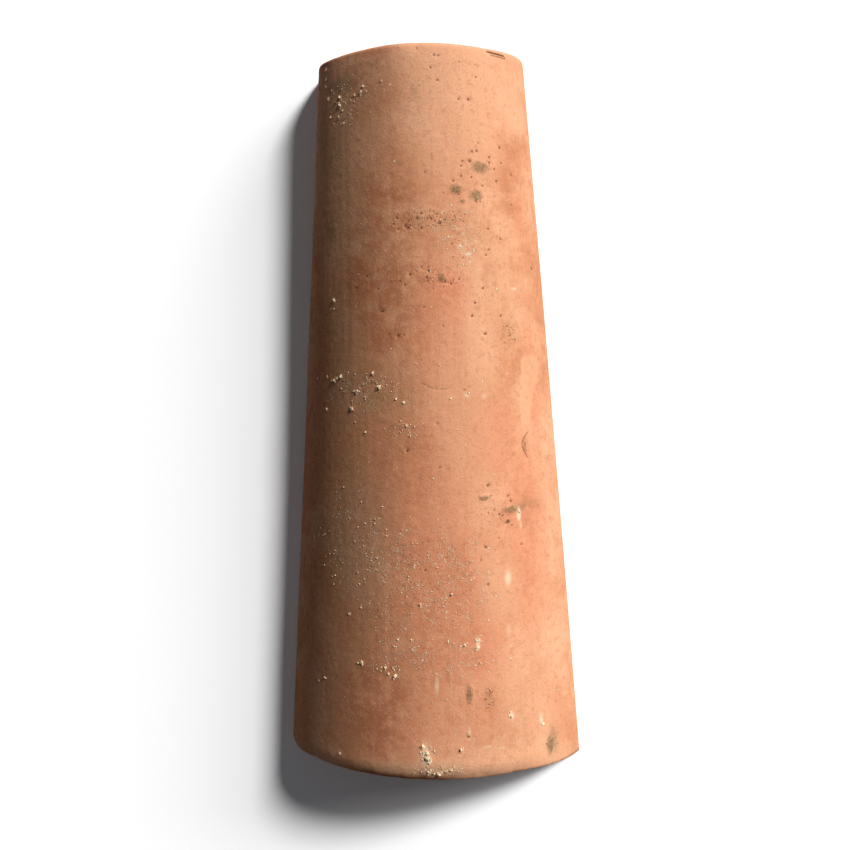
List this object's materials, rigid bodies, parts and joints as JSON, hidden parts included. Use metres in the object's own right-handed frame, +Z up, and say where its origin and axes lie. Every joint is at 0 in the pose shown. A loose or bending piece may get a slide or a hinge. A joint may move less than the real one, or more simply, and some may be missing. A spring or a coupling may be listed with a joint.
{
  "type": "clay roof tile",
  "caption": "Tapered half-round roof tile of fired clay, an arched shell lying crown up on its long edges, laid in overlapping courses as cover or channel.",
  "frame": {"origin": "middle of the tile's footprint on the floor, under the crown line", "axes": "+Y along the length toward the narrow end, +Z up through the crown, +X across"},
  "size_m": [0.2188, 0.5, 0.0779],
  "materials": {
    "fired_clay": "matt, weathered"
  },
  "bodies": {
    "root": {"roof_tile": "fired_clay"}
  },
  "joints": []
}
